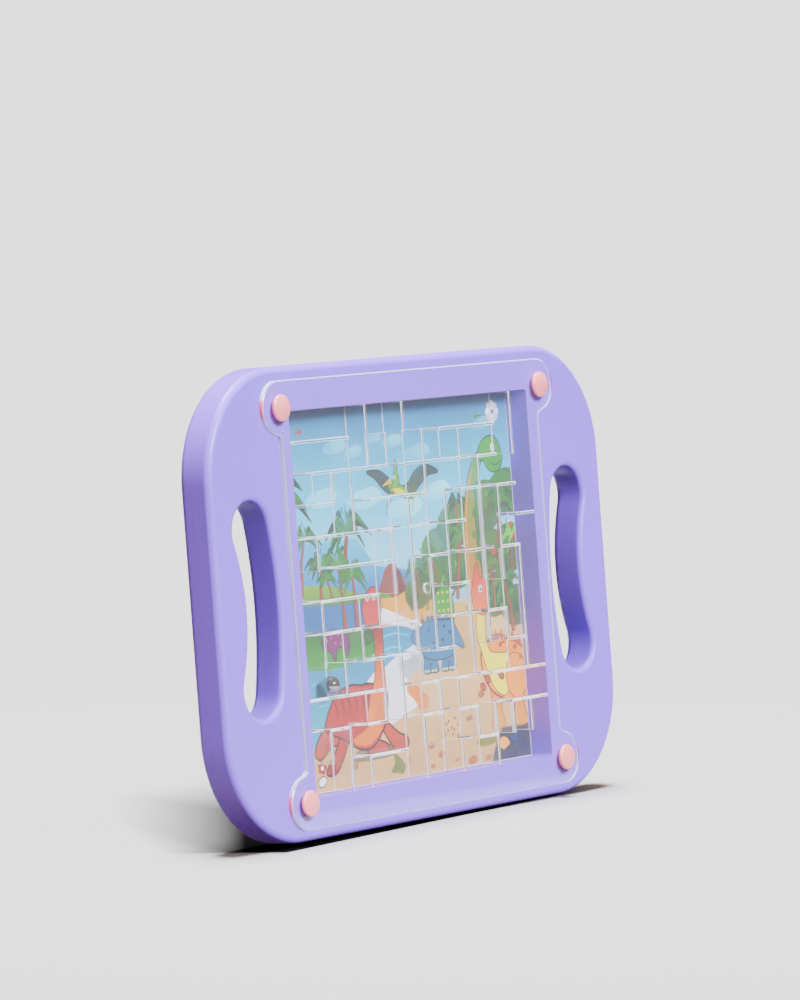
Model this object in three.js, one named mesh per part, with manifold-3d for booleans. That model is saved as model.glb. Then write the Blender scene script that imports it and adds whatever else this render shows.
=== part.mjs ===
// Tilt maze game: a hand-held board with two grip openings, a clear cover whose moulded
// walls form the maze, a printed card behind them and one loose steel ball.
// Units are millimetres. The board stands on its lower long edge: +X right, +Z up, and the
// face with the maze looks along -Y. The origin is the middle of the base of its bounding box.

import * as THREE from 'three';
import { mergeVertices } from 'three/addons/utils/BufferGeometryUtils.js';
import Module from 'manifold-3d';

const wasm = await Module();
wasm.setup();

// Moulded body. Depths run from the front face (0) towards the back.
const BODY_HALF_W = 149.4;
const BODY_HALF_H = 103;
const BODY_RISE = 0.7; // the body's middle above the maze's
const BODY_DEPTH = 16.2;
const CORNER_R = 49.4;
const FRONT_EDGE_R = 3.2;
const BACK_EDGE_R = 3;
const SEAM = 10;
const WALL = 2.2;
const BACK_WALL = 1.6;
const GAP = 0.3;

// Grip openings: a bean that bows towards the maze.
const GRIP_MID_X = 116.4;
const GRIP_END_X = 121.2;
const GRIP_HALF_RUN = 34;
const GRIP_MID_R = 11.5;
const GRIP_END_R = 12.9;
const GRIP_EDGE_R = 2.5;
const GRIP_BACK_EDGE_R = 3.5;

// Maze grid and the tray behind it.
const CELL = 14;
const COLS = 13;
const ROWS = 12;
const RIB = 1.5;
const RIB_DEPTH = 10.9;
const TRAY_HALF_W = COLS * CELL / 2;
const TRAY_HALF_H = ROWS * CELL / 2;
const TRAY_DEPTH = 11.9;
const TRAY_WALL = 1.6;
const TRAY_FLOOR = 1.2;
const CARD_T = 0.4;

// Clear cover with an ear round each push rivet.
const PLATE_T = 2.5;
const PLATE_HALF_W = 98.6;
const RIVET_X = 99.1;
const RIVET_Z = 85.6;
const EAR_R = 12;
const NECK_R = 3;
const RIVET_CAP_R = 5.85;
const RIVET_CAP_H = 2.5;
const RIVET_SHANK_R = 2.3;
const RIVET_HOLE_R = 2.7;
const RIVET_LENGTH = 7.4;

// Back screws and the ball.
const SCREWS = [[-128, 72], [0, 93.4], [128, 72], [-128, -72], [0, -93.4], [128, -72]];
const SCREW_HEAD_R = 2.8;
const SCREW_SHANK_R = 1.3;
const POST_R = 3.8;
const BALL_R = 4;
const BALL_DEPTH = 4.9;

const lavender = { color: 0xb5aee6, roughness: 0.42, metalness: 0 };
const clear = { color: 0xeef4f8, roughness: 0.06, metalness: 0, transparent: true, opacity: 0.3 };
const pink = { color: 0xf9bcc0, roughness: 0.35, metalness: 0 };
const steel = { color: 0xd2d4d8, roughness: 0.12, metalness: 1 };
const card = { color: 0x9fc6cf, roughness: 0.7, metalness: 0 };

// ---- solids -----------------------------------------------------------------------------

function solidOf(geometry) {
  const g = geometry.clone();
  g.deleteAttribute('normal');
  g.deleteAttribute('uv');
  const merged = mergeVertices(g, 1e-4);
  return new wasm.Manifold(new wasm.Mesh({
    numProp: 3,
    vertProperties: new Float32Array(merged.attributes.position.array),
    triVerts: new Uint32Array(merged.index.array),
  }));
}

function geometryOf(solid) {
  const mesh = solid.getMesh();
  const g = new THREE.BufferGeometry();
  g.setAttribute('position', new THREE.BufferAttribute(new Float32Array(mesh.vertProperties), 3));
  g.setIndex(new THREE.BufferAttribute(new Uint32Array(mesh.triVerts), 1));
  g.computeVertexNormals();
  return g;
}

const join = (solids) => solids.reduce((all, s) => all.add(s));
const cut = (solid, tools) => tools.reduce((rest, t) => rest.subtract(t), solid);

// A solid through a stack of outlines with equal point counts: [{ depth, outline }, ...].
function loft(rings) {
  const count = rings[0].outline.length;
  const position = [];
  const index = [];
  rings.forEach(({ depth, outline }) => outline.forEach(([x, z]) => position.push(x, depth, z)));
  for (let k = 0; k + 1 < rings.length; k++) {
    for (let i = 0; i < count; i++) {
      const a = k * count + i;
      const b = k * count + (i + 1) % count;
      index.push(a, a + count, b, b, a + count, b + count);
    }
  }
  const cap = (k, flip) => {
    const contour = rings[k].outline.map(([x, z]) => new THREE.Vector2(x, z));
    for (const [a, b, c] of THREE.ShapeUtils.triangulateShape(contour, [])) {
      index.push(k * count + a, k * count + (flip ? c : b), k * count + (flip ? b : c));
    }
  };
  cap(0, false);
  cap(rings.length - 1, true);
  const g = new THREE.BufferGeometry();
  g.setAttribute('position', new THREE.Float32BufferAttribute(position, 3));
  g.setIndex(index);
  return solidOf(g);
}

// A cylinder along the depth axis.
function rod(x, z, radius, from, to, segments = 20) {
  const g = new THREE.CylinderGeometry(radius, radius, to - from, segments);
  g.translate(x, (from + to) / 2, z);
  return solidOf(g);
}

function block(x0, x1, depth0, depth1, z0, z1) {
  const g = new THREE.BoxGeometry(x1 - x0, depth1 - depth0, z1 - z0);
  g.translate((x0 + x1) / 2, (depth0 + depth1) / 2, (z0 + z1) / 2);
  return solidOf(g);
}

// ---- outlines, counter-clockwise seen from the front --------------------------------------

function bodyOutline(inset, steps = 7) {
  const r = CORNER_R - inset;
  const cx = BODY_HALF_W - CORNER_R;
  const cz = BODY_HALF_H - CORNER_R;
  const points = [];
  [[1, 1], [-1, 1], [-1, -1], [1, -1]].forEach(([sx, sz], quarter) => {
    for (let i = 0; i <= steps; i++) {
      const a = (quarter + i / steps) * Math.PI / 2;
      points.push([sx * cx + r * Math.cos(a), BODY_RISE + sz * cz + r * Math.sin(a)]);
    }
  });
  return points;
}

function gripOutline(side, grow, steps = 8) {
  const bow = (GRIP_END_X - GRIP_MID_X) / GRIP_HALF_RUN ** 2;
  const frame = (z) => {
    const slope = 2 * bow * z;
    const length = Math.hypot(slope, 1);
    const share = (z / GRIP_HALF_RUN) ** 2;
    return {
      x: GRIP_MID_X + bow * z * z,
      across: [1 / length, -slope / length],
      along: [slope / length, 1 / length],
      radius: GRIP_MID_R + (GRIP_END_R - GRIP_MID_R) * share + grow,
    };
  };
  const at = (z, angle) => {
    const f = frame(z);
    const c = f.radius * Math.cos(angle);
    const s = f.radius * Math.sin(angle);
    return [f.x + f.across[0] * c + f.along[0] * s, z + f.across[1] * c + f.along[1] * s];
  };
  const points = [];
  const line = (k) => -GRIP_HALF_RUN + 2 * GRIP_HALF_RUN * k / steps;
  for (let k = 0; k <= steps; k++) points.push(at(line(k), 0));
  for (let k = 1; k < steps; k++) points.push(at(GRIP_HALF_RUN, Math.PI * k / steps));
  for (let k = steps; k >= 0; k--) points.push(at(line(k), Math.PI));
  for (let k = 1; k < steps; k++) points.push(at(-GRIP_HALF_RUN, Math.PI * (1 + k / steps)));
  return side > 0 ? points : points.map(([x, z]) => [-x, z]).reverse();
}

// Rings that follow a quarter-round edge. sign +1 moves the outline in, -1 moves it out.
function edgeRings(outline, radius, sign, start, towards, steps = 4) {
  const rings = [];
  for (let i = 0; i <= steps; i++) {
    const a = (i / steps) * Math.PI / 2;
    const shift = sign * radius * (1 - Math.sin(a));
    rings.push({ depth: start + towards * radius * (1 - Math.cos(a)), outline: outline(shift) });
  }
  return towards > 0 ? rings : rings.reverse();
}

// ---- body -----------------------------------------------------------------------------------

const sides = [-1, 1];
const corners = [[-1, 1], [1, 1], [1, -1], [-1, -1]];

function frontShell() {
  const outer = loft([
    ...edgeRings((s) => bodyOutline(s), FRONT_EDGE_R, 1, 0, 1),
    { depth: SEAM, outline: bodyOutline(0) },
  ]);
  const inner = loft([
    { depth: WALL, outline: bodyOutline(WALL + 1.2) },
    { depth: WALL + 1.2, outline: bodyOutline(WALL) },
    { depth: SEAM + 1, outline: bodyOutline(WALL) },
  ]);
  const tray = block(
    -TRAY_HALF_W - TRAY_WALL, TRAY_HALF_W + TRAY_WALL,
    WALL / 2, TRAY_DEPTH + TRAY_FLOOR,
    -TRAY_HALF_H - TRAY_WALL, TRAY_HALF_H + TRAY_WALL,
  );
  const recess = block(-TRAY_HALF_W, TRAY_HALF_W, -1, TRAY_DEPTH, -TRAY_HALF_H, TRAY_HALF_H);
  const gripWalls = sides.map((s) => loft([
    { depth: WALL / 2, outline: gripOutline(s, WALL + GRIP_EDGE_R * 0.6) },
    { depth: GRIP_EDGE_R, outline: gripOutline(s, WALL) },
    { depth: SEAM, outline: gripOutline(s, WALL) },
  ]));
  const gripHoles = sides.map((s) => loft([
    { depth: -1, outline: gripOutline(s, GRIP_EDGE_R) },
    ...edgeRings((g) => gripOutline(s, g), GRIP_EDGE_R, 1, 0, 1),
    { depth: SEAM + 1, outline: gripOutline(s, 0) },
  ]));
  const rivetBosses = corners.map(([sx, sz]) => (
    rod(sx * RIVET_X, sz * RIVET_Z, RIVET_HOLE_R + 1.6, WALL / 2, SEAM)));
  const rivetHoles = corners.map(([sx, sz]) => (
    rod(sx * RIVET_X, sz * RIVET_Z, RIVET_HOLE_R, -1, RIVET_LENGTH + 0.5)));
  const posts = SCREWS.map(([x, z]) => rod(x, z, POST_R, WALL / 2, SEAM + 1.5));
  const pilots = SCREWS.map(([x, z]) => rod(x, z, SCREW_SHANK_R + GAP, WALL + 0.8, SEAM + 2, 14));
  const body = join([outer.subtract(inner), tray, ...gripWalls, ...rivetBosses, ...posts]);
  return cut(body, [recess, ...gripHoles, ...rivetHoles, ...pilots]);
}

function backShell() {
  const start = SEAM + GAP;
  const outer = loft([
    { depth: start, outline: bodyOutline(0) },
    ...edgeRings((s) => bodyOutline(s), BACK_EDGE_R, 1, BODY_DEPTH, -1),
  ]);
  const inner = loft([
    { depth: start - 1, outline: bodyOutline(WALL) },
    { depth: start + 1.4, outline: bodyOutline(WALL) },
    { depth: BODY_DEPTH - BACK_WALL, outline: bodyOutline(BACK_EDGE_R) },
  ]);
  const gripWalls = sides.map((s) => loft([
    { depth: start, outline: gripOutline(s, WALL) },
    { depth: BODY_DEPTH - BACK_WALL / 2, outline: gripOutline(s, WALL + GRIP_BACK_EDGE_R * 0.6) },
  ]));
  const gripHoles = sides.map((s) => loft([
    { depth: start - 1, outline: gripOutline(s, 0) },
    ...edgeRings((g) => gripOutline(s, g), GRIP_BACK_EDGE_R, 1, BODY_DEPTH, -1),
    { depth: BODY_DEPTH + 1, outline: gripOutline(s, GRIP_BACK_EDGE_R) },
  ]));
  const seats = SCREWS.map(([x, z]) => rod(x, z, POST_R + 0.6, SEAM + 1.8, BODY_DEPTH - BACK_WALL / 2));
  const screwHoles = SCREWS.flatMap(([x, z]) => [
    rod(x, z, SCREW_SHANK_R + GAP, SEAM + 1, BODY_DEPTH, 14),
    rod(x, z, SCREW_HEAD_R + GAP, BODY_DEPTH - 2.4, BODY_DEPTH + 1),
  ]);
  const body = join([outer.subtract(inner), ...gripWalls, ...seats]);
  return cut(body, [...gripHoles, ...screwHoles]);
}

// ---- clear cover ----------------------------------------------------------------------------

function coverOutline() {
  const top = RIVET_Z + EAR_R;
  const run = PLATE_HALF_W + NECK_R - RIVET_X;
  const drop = Math.sqrt((EAR_R + NECK_R) ** 2 - run ** 2);
  const meet = Math.atan2(-drop, run);
  const shape = new THREE.Shape();
  // Right side upwards, then the other three quarters by symmetry.
  const neckZ = RIVET_Z - drop;
  const neckX = PLATE_HALF_W + NECK_R;
  shape.moveTo(PLATE_HALF_W, -neckZ);
  shape.lineTo(PLATE_HALF_W, neckZ);
  shape.absarc(neckX, neckZ, NECK_R, Math.PI, Math.PI + meet, true);
  shape.absarc(RIVET_X, RIVET_Z, EAR_R, meet, Math.PI / 2, false);
  shape.lineTo(-RIVET_X, top);
  shape.absarc(-RIVET_X, RIVET_Z, EAR_R, Math.PI / 2, Math.PI - meet, false);
  shape.absarc(-neckX, neckZ, NECK_R, -meet, 0, true);
  shape.lineTo(-PLATE_HALF_W, -neckZ);
  shape.absarc(-neckX, -neckZ, NECK_R, 0, meet, true);
  shape.absarc(-RIVET_X, -RIVET_Z, EAR_R, Math.PI + meet, 3 * Math.PI / 2, false);
  shape.lineTo(RIVET_X, -top);
  shape.absarc(RIVET_X, -RIVET_Z, EAR_R, -Math.PI / 2, -meet, false);
  shape.absarc(neckX, -neckZ, NECK_R, Math.PI - meet, Math.PI, true);
  return shape;
}

function coverPlate() {
  const g = new THREE.ExtrudeGeometry(coverOutline(), {
    depth: PLATE_T, bevelEnabled: false, curveSegments: 8,
  });
  g.rotateX(Math.PI / 2);
  g.translate(0, -GAP, 0);
  const holes = corners.map(([sx, sz]) => (
    rod(sx * RIVET_X, sz * RIVET_Z, RIVET_HOLE_R, -PLATE_T - 1, 1)));
  return cut(solidOf(g), holes);
}

// ---- maze walls -----------------------------------------------------------------------------
// Grid lines are counted from the tray's left wall and from its top wall. Each group is one
// connected run of walls: [line, from, to] for its upright walls and its level walls.

const WALL_GROUPS = {
  maze_walls_upper_left: {
    upright: [[1, 4, 5], [2, 2, 3], [3, 2, 4], [4, 0, 2], [5, 1, 2], [5, 4, 6]],
    level: [[2, 1, 5], [3, 1, 2], [4, 1, 5], [5, 2, 5]],
  },
  maze_walls_centre: {
    upright: [[1, 6, 8], [3, 7, 8], [4, 6, 7], [5, 8, 10], [6, 3, 9], [6, 10, 12], [7, 1, 3],
      [7, 9, 11], [9, 1, 2]],
    level: [[1, 8, 11], [2, 6, 9], [3, 4, 7], [4, 6, 7], [6, 1, 4], [7, 1, 3], [7, 4, 6],
      [8, 3, 4], [8, 5, 6], [9, 6, 7], [10, 6, 7]],
  },
  maze_walls_right: {
    upright: [[10, 2, 8], [11, 3, 6], [11, 7, 8], [12, 5, 9]],
    level: [[2, 10, 11], [3, 9, 10], [3, 11, 12], [5, 9, 10], [5, 11, 12], [7, 10, 11],
      [8, 11, 12], [9, 10, 13]],
  },
  maze_walls_lower_right: {
    upright: [[7, 5, 8], [8, 3, 6], [8, 9, 10], [9, 6, 9], [9, 10, 11], [10, 10, 12]],
    level: [[4, 8, 9], [5, 7, 8], [6, 8, 9], [7, 8, 9], [8, 7, 8], [9, 8, 9], [10, 8, 9],
      [11, 9, 10]],
  },
  maze_walls_ball_shelf: {
    upright: [[2, 8, 9], [4, 9, 10]],
    level: [[9, 0, 4], [10, 3, 4]],
  },
  maze_walls_lower_left: { upright: [[1, 10, 11], [2, 10, 12]], level: [[10, 1, 2]] },
  maze_walls_bottom_left: { upright: [[3, 11, 12]], level: [[11, 3, 5]] },
  maze_walls_bottom_right: { upright: [[11, 10, 11], [12, 10, 11]], level: [[10, 11, 13]] },
  maze_wall_top_left: { upright: [], level: [[1, 0, 3]] },
  maze_wall_top_centre: { upright: [[6, 0, 1]], level: [] },
  maze_wall_top_right: { upright: [[12, 0, 2]], level: [] },
  maze_wall_right_stub: { upright: [], level: [[4, 12, 13]] },
  maze_wall_bottom_stub: { upright: [[8, 11, 12]], level: [] },
};

const lineX = (k) => -TRAY_HALF_W + k * CELL;
const lineZ = (k) => TRAY_HALF_H - k * CELL;
const within = (v, half) => Math.max(-half + GAP, Math.min(half - GAP, v));

function mazeWalls({ upright, level }) {
  const t = RIB / 2;
  const walls = upright.map(([k, from, to]) => block(
    lineX(k) - t, lineX(k) + t, 0, RIB_DEPTH,
    within(lineZ(to) - t, TRAY_HALF_H), within(lineZ(from) + t, TRAY_HALF_H),
  ));
  level.forEach(([k, from, to]) => walls.push(block(
    within(lineX(from) - t, TRAY_HALF_W), within(lineX(to) + t, TRAY_HALF_W),
    0, RIB_DEPTH, lineZ(k) - t, lineZ(k) + t,
  )));
  return join(walls);
}

// ---- small parts ----------------------------------------------------------------------------

function turned(profile, segments) {
  return new THREE.LatheGeometry(profile.map(([r, h]) => new THREE.Vector2(r, h)), segments);
}

// Shank towards the body (+Y), domed cap in front of the cover.
function pushRivet() {
  const capBack = -PLATE_T - 2 * GAP;
  const profile = [[0, RIVET_LENGTH], [RIVET_SHANK_R - 0.7, RIVET_LENGTH],
    [RIVET_SHANK_R, RIVET_LENGTH - 1], [RIVET_SHANK_R, capBack], [RIVET_CAP_R - 0.3, capBack]];
  for (let i = 0; i <= 3; i++) {
    const a = (i / 3) * Math.PI / 2;
    const rim = RIVET_CAP_R - 1.9 + 1.9 * Math.cos(a);
    profile.push([rim, capBack - 0.6 - (RIVET_CAP_H - 0.9) * Math.sin(a)]);
  }
  profile.push([0, capBack - RIVET_CAP_H]);
  return turned(profile.reverse(), 18);
}

// Head at the back face, shank towards the front.
function backScrew() {
  const head = BODY_DEPTH - 0.5;
  const seat = BODY_DEPTH - 2.4 - GAP + 0.6;
  const profile = [[0, head], [1.9, head], [SCREW_HEAD_R, head - 0.7], [SCREW_HEAD_R, seat],
    [SCREW_SHANK_R, seat], [SCREW_SHANK_R, WALL + 2.2], [0.3, WALL + 1.2], [0, WALL + 1.2]];
  return turned(profile.reverse(), 12);
}

// ---- assembly -------------------------------------------------------------------------------

const game = new THREE.Group();
const faceBack = BODY_DEPTH;
const faceFront = -PLATE_T - 2 * GAP - RIVET_CAP_H;
game.position.set(0, -(faceFront + faceBack) / 2, BODY_HALF_H - BODY_RISE);

function piece(name, geometry, finish, x = 0, z = 0) {
  const mesh = new THREE.Mesh(geometry, new THREE.MeshStandardMaterial(finish));
  mesh.name = name;
  mesh.position.set(x, 0, z);
  game.add(mesh);
  return mesh;
}

piece('front_shell', geometryOf(frontShell()), lavender);
piece('back_shell', geometryOf(backShell()), lavender);
piece('printed_card', geometryOf(block(
  -TRAY_HALF_W + GAP, TRAY_HALF_W - GAP, TRAY_DEPTH - GAP - CARD_T, TRAY_DEPTH - GAP,
  -TRAY_HALF_H + GAP, TRAY_HALF_H - GAP,
)), card);
piece('cover_plate', geometryOf(coverPlate()), clear);
for (const [name, group] of Object.entries(WALL_GROUPS)) {
  piece(name, geometryOf(mazeWalls(group)), clear);
}

const rivetNames = ['top_left', 'top_right', 'bottom_right', 'bottom_left'];
corners.forEach(([sx, sz], i) => {
  piece(`push_rivet_${rivetNames[i]}`, pushRivet(), pink, sx * RIVET_X, sz * RIVET_Z);
});

const screwNames = ['top_left', 'top_middle', 'top_right', 'bottom_left', 'bottom_middle',
  'bottom_right'];
SCREWS.forEach(([x, z], i) => piece(`back_screw_${screwNames[i]}`, backScrew(), steel, x, z));

// The ball lies on the shelf of the ninth level wall, against the upright wall on its right.
const ball = piece('steel_ball', new THREE.SphereGeometry(BALL_R, 20, 12), steel,
  lineX(2) - RIB / 2 - GAP - BALL_R, lineZ(9) + RIB / 2 + GAP + BALL_R);
ball.position.y = BALL_DEPTH;

export default game;
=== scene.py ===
"""Tilt maze game: a hand-held board with a clear maze cover over a printed card."""
import math

import bmesh
import bpy
import numpy as np
from mathutils import Matrix, Vector
from mathutils.geometry import delaunay_2d_cdt


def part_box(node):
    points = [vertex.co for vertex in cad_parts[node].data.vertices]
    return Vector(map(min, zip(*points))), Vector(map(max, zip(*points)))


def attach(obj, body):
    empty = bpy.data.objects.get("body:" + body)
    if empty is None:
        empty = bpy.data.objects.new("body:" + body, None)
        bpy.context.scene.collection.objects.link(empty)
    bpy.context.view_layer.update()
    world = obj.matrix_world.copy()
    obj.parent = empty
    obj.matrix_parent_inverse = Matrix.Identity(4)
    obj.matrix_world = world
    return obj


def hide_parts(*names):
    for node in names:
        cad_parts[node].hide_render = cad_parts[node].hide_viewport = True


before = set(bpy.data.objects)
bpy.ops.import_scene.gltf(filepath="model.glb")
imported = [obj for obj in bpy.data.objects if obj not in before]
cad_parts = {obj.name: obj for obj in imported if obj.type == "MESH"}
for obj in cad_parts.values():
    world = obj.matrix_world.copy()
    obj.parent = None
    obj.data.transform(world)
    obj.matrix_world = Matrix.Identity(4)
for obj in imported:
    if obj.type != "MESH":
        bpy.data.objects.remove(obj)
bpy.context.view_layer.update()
scene = bpy.context.scene

# ---- frame -------------------------------------------------------------------------------------
# Pieces are made in millimetres: x and z from the middle of the maze, y from the front face.
shell_lo, shell_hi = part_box("front_shell")
FACE_Y = shell_lo.y
RISE = 0.7  # the body's middle above the maze's
MID_Z = (shell_lo.z + shell_hi.z) / 2 - RISE / 1000
TO_ROW = Matrix.Translation((0, FACE_Y, MID_Z)) @ Matrix.Scale(0.001, 4)

HALF_W, HALF_H, DEPTH, CORNER_R = 149.4, 103.0, 16.2, 49.4
FRONT_R, BACK_R, SEAM = 3.2, 3.0, 10.0
GRIP_MID_X, GRIP_END_X, GRIP_RUN = 116.4, 121.2, 34.0
GRIP_MID_R, GRIP_END_R, GRIP_EDGE, GRIP_BACK_EDGE = 11.5, 12.9, 2.5, 3.5
CELL, COLS, ROWS, RIB, RIB_DEPTH = 14.0, 13, 12, 1.5, 10.9
TRAY_W, TRAY_H, TRAY_DEPTH, CARD_FRONT = 91.0, 84.0, 11.9, 11.2
PLATE_W, PLATE_FRONT, PLATE_BACK = 98.6, -2.8, -0.3
RIVET_X, RIVET_Z, EAR_R, NECK_R = 99.1, 85.6, 12.0, 3.0
RIVET_HOLE_R, RIVET_HEAD_R, RIVET_EDGE = 2.7, 5.85, 1.4
SCREWS = {"top_left": (-128, 72), "top_middle": (0, 93.4), "top_right": (128, 72),
          "bottom_left": (-128, -72), "bottom_middle": (0, -93.4), "bottom_right": (128, -72)}
SIGNS = ((1, 1), (-1, 1), (-1, -1), (1, -1))
PLASTIC_IOR, ACRYLIC_IOR = 1.46, 1.49
BACKDROP_GLOW = 2.33
AMBIENT_LOW, AMBIENT_HIGH = 0.04, 0.42


def lin(r, g, b):
    """Screen colour (0-255) to a linear RGBA."""
    def one(v):
        v /= 255
        return v / 12.92 if v <= 0.04045 else ((v + 0.055) / 1.055) ** 2.4
    return (one(r), one(g), one(b), 1.0)


def grey(v):
    return (v, v, v, 1.0)


# ---- shader node helpers -----------------------------------------------------------------------
def node_material(name):
    mat = bpy.data.materials.new(name)
    mat.use_nodes = True
    nt = mat.node_tree
    return mat, nt, nt.nodes["Principled BSDF"]


def feed(nt, node, values):
    """Sets each named input of a node to a number or colour, or links a socket to it."""
    for name, value in values.items():
        if isinstance(value, bpy.types.NodeSocket):
            nt.links.new(value, node.inputs[name])
        else:
            node.inputs[name].default_value = value


def maths(nt, operation, a, b=0.0):
    """A maths node on sockets or numbers."""
    node = nt.nodes.new("ShaderNodeMath")
    node.operation = operation
    feed(nt, node, {0: a, 1: b})
    return node.outputs[0]


def object_place(nt):
    return nt.nodes.new("ShaderNodeTexCoord").outputs["Object"]


def split(nt, place):
    node = nt.nodes.new("ShaderNodeSeparateXYZ")
    feed(nt, node, {0: place})
    return node.outputs["X"], node.outputs["Y"], node.outputs["Z"]


def noise(nt, scale, detail=3.0, rough=0.5):
    node = nt.nodes.new("ShaderNodeTexNoise")
    feed(nt, node, {"Scale": scale, "Detail": detail, "Roughness": rough,
                    "Vector": object_place(nt)})
    return node.outputs["Fac"]


def mapped(nt, value, lo, hi, start=0.3, end=0.7, curve="LINEAR"):
    node = nt.nodes.new("ShaderNodeMapRange")
    node.interpolation_type = curve
    feed(nt, node, {"From Min": start, "From Max": end, "To Min": lo, "To Max": hi,
                    "Value": value})
    return node.outputs["Result"]


def blend_colours(nt, value, a, b):
    node = nt.nodes.new("ShaderNodeValToRGB")
    for stop, at, colour in zip(node.color_ramp.elements, (0.3, 0.7), (a, b)):
        stop.position, stop.color = at, colour
    feed(nt, node, {"Fac": value})
    return node.outputs["Color"]


def bumps(nt, height, strength, distance):
    node = nt.nodes.new("ShaderNodeBump")
    feed(nt, node, {"Strength": strength, "Distance": distance, "Height": height})
    return node.outputs["Normal"]


# ---- camera, floor and light -------------------------------------------------------------------
def camera():
    azimuth, elevation, roll = map(math.radians, (-54.314, 1.708, -4.245))
    distance, right_of_middle, above_middle = 2.669, -0.009637, 0.039229
    back = Vector((math.sin(azimuth) * math.cos(elevation),
                   -math.cos(azimuth) * math.cos(elevation), math.sin(elevation)))
    right = Vector((math.cos(azimuth), math.sin(azimuth), 0))
    up = back.cross(right)
    r = right * math.cos(roll) + up * math.sin(roll)
    u = -right * math.sin(roll) + up * math.cos(roll)
    aim = Vector((0, FACE_Y, MID_Z)) + r * right_of_middle + u * above_middle
    data = bpy.data.cameras.new("camera")
    data.lens, data.sensor_width = 216.0, 36.0
    data.clip_start, data.clip_end = 0.1, 60
    cam = bpy.data.objects.new("camera", data)
    cam.matrix_world = Matrix.Translation(aim + back * distance) @ Matrix(
        (r, u, back)).transposed().to_4x4()
    scene.collection.objects.link(cam)
    scene.camera = cam


# SHADOW is the colour of the shadow painted on the floor, FLOOR the paper's own colour
SHADOW, FLOOR = grey(0.004), grey(0.555)
FLOOR_R, FADE_START, FADE_END = 0.66, 0.30, 0.62  # metres


def contact_shade(nt):
    """Painted shadow in the floor's colour: 0 under the board, rising to 1 around it: a wedge in
    front and a soft tail behind.

    Each side is a straight edge on the floor, in metres, over which the shade fades out.
    """
    x, y, _ = split(nt, object_place(nt))
    ahead = maths(nt, "SUBTRACT", maths(nt, "MULTIPLY", x, 0.045), maths(nt, "ADD", y, 0.0125))
    behind = maths(nt, "SUBTRACT", y, maths(nt, "MULTIPLY", x, 0.75))
    beside = maths(nt, "SUBTRACT", y, maths(nt, "MULTIPLY", x, 1.12))
    corner = maths(nt, "ADD", maths(nt, "MULTIPLY", x, 0.81), maths(nt, "MULTIPLY", y, 0.58))
    most = mapped(nt, ahead, 0, 1, 0.0, 0.0025)
    for side in (mapped(nt, behind, 0, 1, -0.046, 0.210), mapped(nt, y, 0, 1, -0.092, 0.204),
                 mapped(nt, beside, 0, 1, 0.050, 0.227),
                 mapped(nt, corner, 1, 0, -0.118, -0.096), mapped(nt, x, 0, 1, 0.080, 0.115)):
        most = maths(nt, "MAXIMUM", most, side)
    return maths(nt, "POWER", most, 2.0)


def floor_material():
    """Pale paper that fades out before its edge, so no horizon shows, with a painted shadow under
    and around the board.
    """
    mat, nt, bsdf = node_material("floor")
    length = nt.nodes.new("ShaderNodeVectorMath")
    length.operation = "LENGTH"
    feed(nt, length, {0: object_place(nt)})
    # the base colour carries the painted shadow from contact_shade
    feed(nt, bsdf, {
        "Base Color": blend_colours(nt, contact_shade(nt), SHADOW, FLOOR), "Roughness": 0.95,
        "Specular IOR Level": 0.0,
        "Alpha": mapped(nt, length.outputs["Value"], 1, 0, FADE_START, FADE_END, "SMOOTHERSTEP")})
    return mat


def staged(name, bm, matrix, mat):
    obj = mesh_object(name, bm, recalc=False)
    obj.data.materials.append(mat)
    obj.matrix_world = matrix
    obj.visible_diffuse = False
    obj.visible_shadow = False
    return obj


def stage():
    """The floor leans a little against the board's base; the board touches it along its back."""
    lean = math.radians(5.24)
    normal = Vector((0, -math.sin(lean), math.cos(lean)))
    foot = Vector((0, FACE_Y + (DEPTH - BACK_R) / 1000, MID_Z - (HALF_H - RISE - BACK_R) / 1000))
    touch = foot - normal * (BACK_R / 1000 + 0.0001)
    bm = bmesh.new()
    bmesh.ops.create_circle(bm, cap_ends=True, segments=96, radius=FLOOR_R)
    staged("floor", bm, Matrix.Translation(touch) @ Matrix.Rotation(lean, 4, "X"),
           floor_material())
    mat, nt, bsdf = node_material("backdrop")
    feed(nt, bsdf, {"Base Color": grey(0), "Specular IOR Level": 0.0,
                    "Emission Color": grey(1), "Emission Strength": BACKDROP_GLOW})
    bm = bmesh.new()
    bmesh.ops.create_icosphere(bm, subdivisions=4, radius=9)
    dome = staged("backdrop", bm, Matrix.Translation((0, 0, MID_Z)), mat)
    dome.visible_glossy = False
    dome.visible_transmission = False


def sun(name, towards, strength, spread, colour=(1, 1, 1)):
    data = bpy.data.lights.new(name, "SUN")
    data.energy, data.angle, data.color = strength, math.radians(spread), colour
    lamp = bpy.data.objects.new(name, data)
    lamp.rotation_euler = Vector(towards).to_track_quat("Z", "Y").to_euler()
    lamp.location = Vector(towards) * 2
    scene.collection.objects.link(lamp)
    return lamp


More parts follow.
